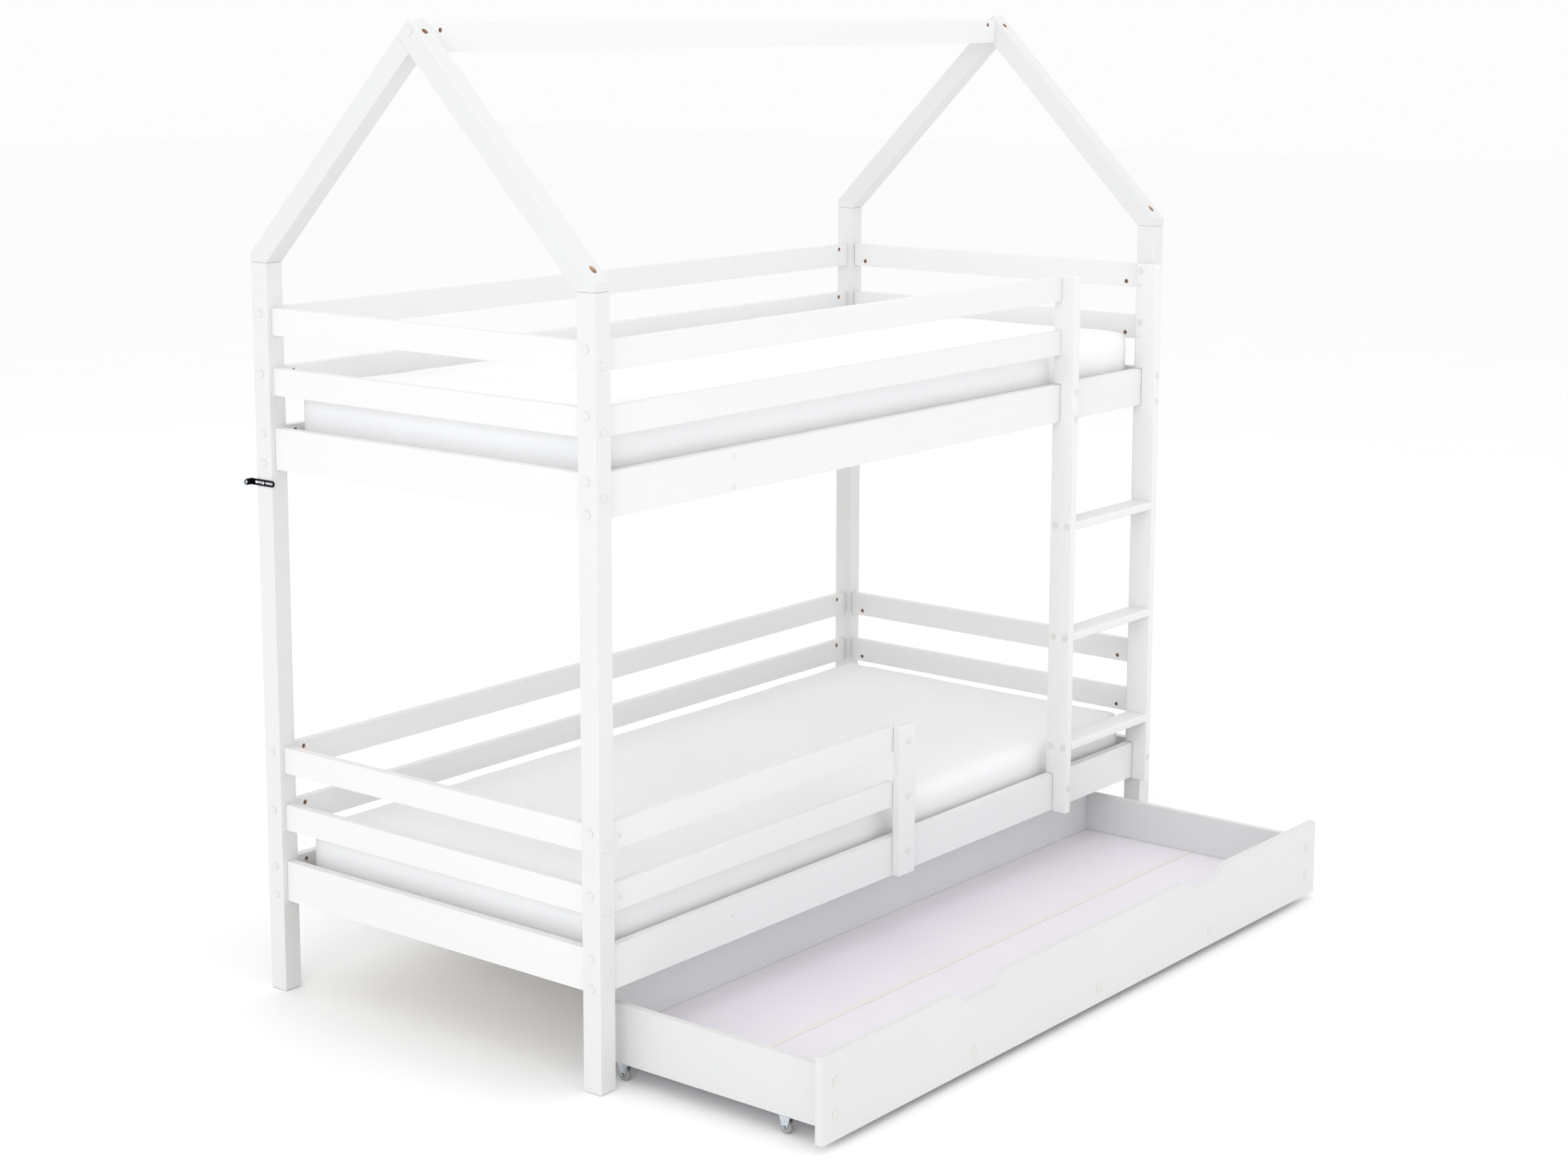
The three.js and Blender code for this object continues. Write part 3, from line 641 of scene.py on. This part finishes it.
# ------------------------------------------------------------------ drawer fittings
df_lo, df_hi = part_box("drawer_front")
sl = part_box("drawer_side_left")
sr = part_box("drawer_side_right")
db_lo, db_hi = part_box("drawer_back")
fl_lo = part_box("drawer_floor_front")[0]
dmid = (df_lo.x + df_hi.x) / 2
CORNER_Z = (0.1345, 0.0690)  # screws into the side boards
BATTEN_X, BATTEN_Z = (-0.473, 0.0, 0.473), 0.0505  # screws into the battens under the floor
front_pts, back_pts = [], []
for lo, hi in (sl, sr):
    x = (lo.x + hi.x) / 2
    for z in CORNER_Z:
        front_pts.append(((x, df_lo.y, z), -Y))
for x in BATTEN_X:
    front_pts.append(((dmid + x, df_lo.y, BATTEN_Z), -Y))
caps("drawer_front_caps", front_pts, 0.0100, 0.0016, CAP_PALE, "drawer")
for lo, hi in (sl, sr):
    for z in CORNER_Z:
        back_pts.append(((hi.x if lo.x > dmid else lo.x, hi.y - 0.008, z), X if lo.x > dmid else -X))
for x in BATTEN_X:
    back_pts.append(((dmid + x, db_hi.y, BATTEN_Z), Y))
caps("drawer_back_caps", back_pts, 0.0060, 0.0014, CAP, "drawer")

BATTEN_W = 0.036
for i, x in enumerate(BATTEN_X):
    bm = bmesh.new()
    bmesh.ops.create_cube(bm, size=1)
    y0, y1 = df_hi.y + 0.0004, db_lo.y - 0.0004
    z0, z1 = 0.0395, fl_lo.z - 0.0018
    for v in bm.verts:
        v.co = Vector((dmid + x + v.co.x * BATTEN_W, (y0 + y1) / 2 + v.co.y * (y1 - y0),
                       (z0 + z1) / 2 + v.co.z * (z1 - z0)))
    bmesh.ops.bevel(bm, geom=bm.edges[:], offset=0.0016, segments=3, affect="EDGES", profile=0.5)
    make(f"drawer_batten_{i + 1}", bm, BATTEN, "drawer")

RIVET_RING = ((0.0040, -0.0012), (0.0042, 0.0), (0.0040, 0.0006), (0.0028, 0.0004), (0.0024, 0.0001))
RIVET_PIN = ((0.0024, 0.0001), (0.0024, 0.0010), (0.0016, 0.0017), (0, 0.0019))
for a in ("front", "rear"):
    for b in ("left", "right"):
        lo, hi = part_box(f"caster_wheel_{a}_{b}")
        c = (lo + hi) / 2
        r, w = (hi.z - lo.z) / 2, (hi.x - lo.x) / 2
        bm = bmesh.new()
        hub = 0.00275
        prof = [(hub, -w), (0.0052, -w), (0.0056, -w + 0.0012), (0.0080, -w + 0.0012), (0.0086, -w + 0.0002),
                (r - 0.0022, -w), (r - 0.0008, -w + 0.0007), (r - 0.0001, -w + 0.0021), (r, 0),
                (r - 0.0001, w - 0.0021), (r - 0.0008, w - 0.0007), (r - 0.0022, w), (0.0086, w - 0.0002),
                (0.0080, w - 0.0012), (0.0056, w - 0.0012), (0.0052, w), (hub, w), (hub, -w)]
        turned(bm, prof, c, X, 48)
        o = make(f"caster_wheel_body_{a}_{b}", bm, WHEEL, f"wheel_{a}_{b}")
        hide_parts(f"caster_wheel_{a}_{b}")
        bm = bmesh.new()
        flo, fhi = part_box(f"caster_fork_{a}_{b}")
        for s, x in ((-1, flo.x + 0.0014), (1, fhi.x - 0.0014)):
            turned(bm, RIVET_RING, (x, c.y, c.z), X * s, 24, 1)
            turned(bm, RIVET_PIN, (x, c.y, c.z), X * s, 24)
        bmesh.ops.remove_doubles(bm, verts=bm.verts[:], dist=0.00001)
        make(f"caster_rivets_{a}_{b}", bm, [SCREW, DARK], "drawer")


# ------------------------------------------------------------------ mattresses
PAD_INSET = 0.004  # the pad starts this far inside the CAD solid, then fills out
PAD_STEP = 0.022  # spacing of its lattice
R_CORNER, R_EDGE = 0.048, 0.036  # rounding of the upright corners, and of the top and bottom edges
PUFF_LIMIT = 0.0075  # the furthest a point moves as the cover fills out
CLOTH_FRAMES = 20
PAD_SEED = {"upper": Vector((3.1, 7.7, 1.3)), "lower": Vector((11.4, 2.9, 5.2))}


def lattice(half):
    """A block from -1 to 1, cut into squares of about PAD_STEP at the mattress's own size."""
    bm = bmesh.new()
    n = [max(2, round(2 * h / PAD_STEP)) for h in half]
    bmesh.ops.create_cube(bm, size=2)
    for axis in range(3):
        for i in range(1, n[axis]):
            co = Vector((0, 0, 0))
            co[axis] = -1 + 2 * i / n[axis]
            no = Vector((0, 0, 0))
            no[axis] = 1
            geom = bm.verts[:] + bm.edges[:] + bm.faces[:]
            bmesh.ops.bisect_plane(bm, geom=geom, plane_co=co, plane_no=no)
    return bm


def rounded(p, half):
    """A point of the sharp block, moved onto the block with rounded corners and edges."""
    core = Vector((max(-half.x + R_CORNER, min(half.x - R_CORNER, p.x)),
                   max(-half.y + R_CORNER, min(half.y - R_CORNER, p.y))))
    d = Vector((p.x - core.x, p.y - core.y))
    if d.length > R_CORNER:
        d *= R_CORNER / d.length
        p.x, p.y = core.x + d.x, core.y + d.y
    core_z = max(-half.z + R_EDGE, min(half.z - R_EDGE, p.z))
    dz = p.z - core_z
    wall = min(half.x - abs(p.x), half.y - abs(p.y))
    if abs(dz) > 0 and wall < R_EDGE:
        k = (R_EDGE - wall)
        length = math.hypot(dz, k)
        if length > R_EDGE:
            dz *= R_EDGE / length
            s = (k - k * R_EDGE / length)
            if half.x - abs(p.x) < half.y - abs(p.y):
                p.x -= math.copysign(s, p.x)
            else:
                p.y -= math.copysign(s, p.y)
    p.z = core_z + dz
    return p


def fill_out(o):
    """Swells the cover under a little pressure, with each point's travel limited."""
    me = o.data
    rest = [v.co.copy() for v in me.vertices]
    mod = o.modifiers.new("cloth", "CLOTH")
    s = mod.settings
    s.quality = 4
    s.mass = 0.25
    s.tension_stiffness = s.compression_stiffness = 22
    s.shear_stiffness = 12
    s.bending_stiffness = 2.0
    s.use_pressure = True
    s.uniform_pressure_force = 4.0
    s.effector_weights.gravity = 0
    for f in range(1, CLOTH_FRAMES + 1):
        scene.frame_set(f)
    dg = bpy.context.evaluated_depsgraph_get()
    done = bpy.data.meshes.new_from_object(o.evaluated_get(dg))
    o.modifiers.clear()
    for i, v in enumerate(done.vertices):
        d = v.co - rest[i]
        if d.length > PUFF_LIMIT:
            d *= PUFF_LIMIT / d.length
        me.vertices[i].co = rest[i] + d
    scene.frame_set(1)


def settle(me, lo, hi, seed):
    """Soft unevenness, a pull near the edges and the crease along the rear, kept inside the bunk."""
    floor_z = lo.z + 0.0004
    mid_z = ((lo + hi) / 2).z
    for v in me.vertices:
        p = v.co
        edge = min(hi.x - p.x, p.x - lo.x, hi.y - p.y, p.y - lo.y)
        near = max(0.0, 1 - max(edge, 0) / 0.10)
        soft = noise.noise(Vector((p.x * 2.3, p.y * 3.1, p.z * 4)) + seed) * 0.0022
        pull = noise.noise(Vector((p.x * 11, p.y * 11, p.z * 26)) + seed) * 0.0026 * near
        if p.z > mid_z:
            p.z += soft + pull
            # the cover is drawn in along the rear edge, behind a soft lip
            swell = 0.6 + 0.5 * noise.noise(Vector((p.x * 2.6, 0.3, 0.9)) + seed)
            back = hi.y - p.y
            p.z -= 0.0058 * swell * math.exp(-((back - 0.066) / 0.024) ** 2)
            p.z += 0.0030 * swell * math.exp(-((back - 0.030) / 0.020) ** 2)
        p.z = max(floor_z, min(p.z, hi.z + 0.008))
        p.x = max(lo.x - 0.004, min(p.x, hi.x + 0.004))
        p.y = max(lo.y - 0.006, min(p.y, hi.y + 0.006))


def mattress(level):
    """The soft pad that stands for one mattress."""
    node = f"{level}_mattress"
    lo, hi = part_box(node)
    half = (hi - lo) / 2 - Vector((PAD_INSET, PAD_INSET, PAD_INSET * 0.5))
    mid = (lo + hi) / 2
    bm = lattice(half)
    for v in bm.verts:
        v.co = mid + rounded(Vector((v.co.x * half.x, v.co.y * half.y, v.co.z * half.z)), half)
    me = bpy.data.meshes.new(f"{level}_mattress_pad")
    bm.to_mesh(me)
    bm.free()
    o = bpy.data.objects.new(f"{level}_mattress_pad", me)
    scene.collection.objects.link(o)
    fill_out(o)
    settle(me, lo, hi, PAD_SEED[level])
    sub = o.modifiers.new("smooth", "SUBSURF")
    sub.levels = sub.render_levels = 1
    for p in me.polygons:
        p.use_smooth = True
    me.materials.append(COVER)
    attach(o, "bed")
    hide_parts(node)


mattress("lower")
mattress("upper")


# ------------------------------------------------------------------ floor, backdrop and light
FLOOR_HALF, FLOOR_Z = 30, -0.0006


def floor():
    """A large, pale, near-white floor just under the feet."""
    bm = bmesh.new()
    for x, y in ((-1, -1), (1, -1), (1, 1), (-1, 1)):
        bm.verts.new((x * FLOOR_HALF, y * FLOOR_HALF, FLOOR_Z))
    bm.faces.new(bm.verts[:])
    me = bpy.data.meshes.new("floor")
    bm.to_mesh(me)
    bm.free()
    n = Nodes("pale_floor")
    v = n.coords()
    color = n.ramp(n.noise(v, 2.0, 3), [(0.3, (0.982, 0.982, 0.982)), (0.7, (0.99, 0.99, 0.99))])
    me.materials.append(n.set(color=color, rough=0.9))
    o = bpy.data.objects.new("floor", me)
    scene.collection.objects.link(o)


def area(name, position, target, size, power, color):
    """A soft rectangular light aimed at the target."""
    data = bpy.data.lights.new(name, "AREA")
    data.shape = "RECTANGLE"
    data.size, data.size_y = size
    data.energy = power
    data.color = color
    o = bpy.data.objects.new(name, data)
    o.location = position
    o.rotation_euler = (Vector(target) - Vector(position)).to_track_quat("-Z", "Y").to_euler()
    scene.collection.objects.link(o)


floor()
world = bpy.data.worlds.new("studio")
world.use_nodes = True
world.node_tree.nodes["Background"].inputs["Color"].default_value = (1, 1, 1, 1)
world.node_tree.nodes["Background"].inputs["Strength"].default_value = 0.98
scene.world = world
LIGHTS = (
    # name, place, target, size, watts, colour; places are given as for at()
    ("key_left", (-9.0, -3.6, 4.2), (-0.2, 0, 1.2), (4.5, 3.2), 188, (0.955, 0.978, 1.0)),
    ("fill_front", (1.2, -5.2, 1.9), (0.2, 0, 0.6), (3.6, 1.6), 14, (0.98, 0.99, 1.0)),
    ("top_soft", (0.2, -1.3, 5.4), (0.2, -0.5, 0), (3.2, 2.2), 27, (0.985, 0.992, 1.0)),
    ("back_soft", (0.8, 4.6, 5.6), (0.2, 0, 0.9), (4.0, 2.5), 18, (0.97, 0.985, 1.0)),
)
for name, place, target, size, power, color in LIGHTS:
    area(name, at(*place), at(*target), size, power, color)
scene.view_settings.view_transform = "Standard"
scene.view_settings.look = "None"
scene.view_settings.exposure = 0.0
scene.view_settings.gamma = 1.0
